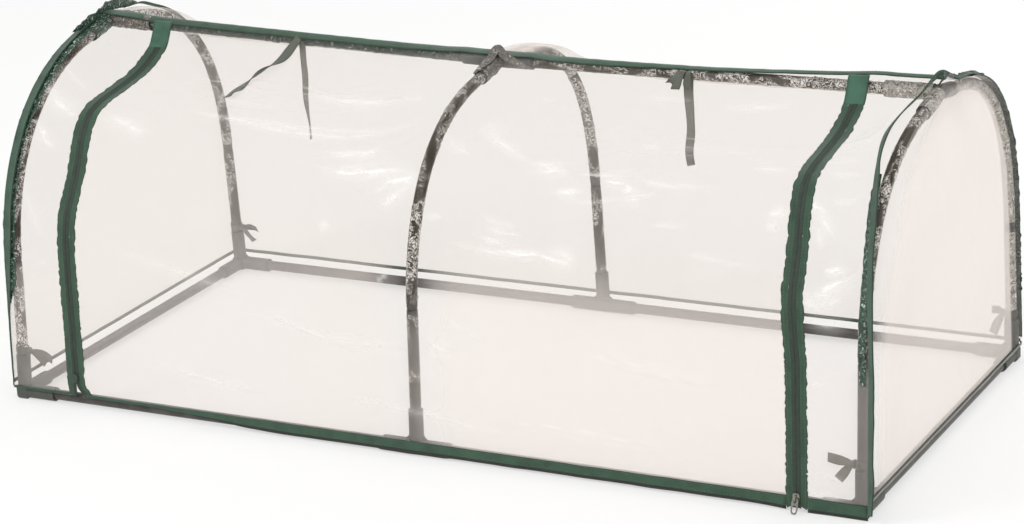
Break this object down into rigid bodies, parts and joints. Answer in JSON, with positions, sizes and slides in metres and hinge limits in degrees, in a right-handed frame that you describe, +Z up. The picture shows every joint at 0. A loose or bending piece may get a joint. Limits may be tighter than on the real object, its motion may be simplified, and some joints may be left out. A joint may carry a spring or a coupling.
{
  "type": "row cover tunnel",
  "caption": "Arched row cover tunnel of clear film over a bent tube frame in moulded sockets, with a zipped front door, end panels and bound seams.",
  "frame": {"origin": "on the ground in the middle of the tunnel's footprint", "axes": "+X along the tunnel to its right end, -Y towards the zipped front, +Z up"},
  "size_m": [1.2328, 0.5965, 0.4829],
  "materials": {
    "coated_steel": "thin steel tube with a satin grey coating",
    "socket_nylon": "moulded grey nylon",
    "clear_film": "clear flexible vinyl film",
    "green_binding": "woven green binding tape, sewn",
    "zip_tape": "woven green zip tape with a coil edge",
    "ribbon": "grey-green ribbon",
    "nickel": "nickel-plated zinc",
    "painted_zinc": "dark painted zinc"
  },
  "bodies": {
    "frame": {"corner_socket_front_left": "socket_nylon", "corner_socket_front_right": "socket_nylon", "corner_socket_rear_left": "socket_nylon", "corner_socket_rear_right": "socket_nylon", "tee_socket_front": "socket_nylon", "tee_socket_rear": "socket_nylon", "crown_socket_left": "socket_nylon", "crown_socket_middle": "socket_nylon", "crown_socket_right": "socket_nylon", "rail_front_left": "coated_steel", "rail_front_right": "coated_steel", "rail_rear_left": "coated_steel", "rail_rear_right": "coated_steel", "end_rail_left": "coated_steel", "end_rail_right": "coated_steel", "leg_front_left": "coated_steel", "leg_front_middle": "coated_steel", "leg_front_right": "coated_steel", "leg_rear_left": "coated_steel", "leg_rear_middle": "coated_steel", "leg_rear_right": "coated_steel", "bow_front_left": "coated_steel", "bow_front_middle": "coated_steel", "bow_front_right": "coated_steel", "bow_rear_left": "coated_steel", "bow_rear_middle": "coated_steel", "bow_rear_right": "coated_steel", "ridge_tube_left": "coated_steel", "ridge_tube_right": "coated_steel", "side_strip_left": "clear_film", "side_strip_right": "clear_film", "rear_panel": "clear_film", "end_panel_left": "clear_film", "end_panel_right": "clear_film", "ridge_binding": "green_binding", "arch_binding_left": "green_binding", "arch_binding_right": "green_binding", "side_hem_left": "green_binding", "side_hem_right": "green_binding", "base_binding": "green_binding", "zip_tape_fixed_left": "zip_tape", "zip_tape_fixed_right": "zip_tape", "zip_patch_left": "green_binding", "zip_patch_right": "green_binding", "inner_tie_left": "ribbon", "inner_tie_right": "ribbon", "corner_tie_front_left": "ribbon", "corner_tie_front_right": "ribbon", "corner_tie_rear_left": "ribbon", "corner_tie_rear_right": "ribbon"},
    "door": {"door_panel": "clear_film", "door_hem": "green_binding", "zip_tape_door_left": "zip_tape", "zip_tape_door_right": "zip_tape", "outer_tie_left": "ribbon", "outer_tie_right": "ribbon"},
    "slider_left": {"zip_slider_left": "painted_zinc"},
    "slider_right": {"zip_slider_right": "nickel"},
    "pull_left": {"zip_pull_left": "painted_zinc"},
    "pull_right": {"zip_pull_right": "nickel"}
  },
  "joints": [
    {"name": "door_lift", "type": "hinge", "parent": "frame", "child": "door", "pos_m": [0, -0.0067, 0.463], "axis": [-1, 0, 0], "range_deg": [0, 110]},
    {"name": "zip_left", "type": "slide", "parent": "door", "child": "slider_left", "axis": [0, 0.0312, 0.9995], "range_m": [0, 0.13]},
    {"name": "zip_right", "type": "slide", "parent": "door", "child": "slider_right", "axis": [0, 0.0318, 0.9995], "range_m": [0, 0.15]},
    {"name": "pull_left_swing", "type": "hinge", "parent": "slider_left", "child": "pull_left", "pos_m": [-0.5038, -0.28621, 0.04191], "axis": [1, 0, 0], "range_deg": [0, 165]},
    {"name": "pull_right_swing", "type": "hinge", "parent": "slider_right", "child": "pull_right", "pos_m": [0.5205, -0.29513, 0.01887], "axis": [-1, 0, 0], "range_deg": [0, 143]}
  ]
}
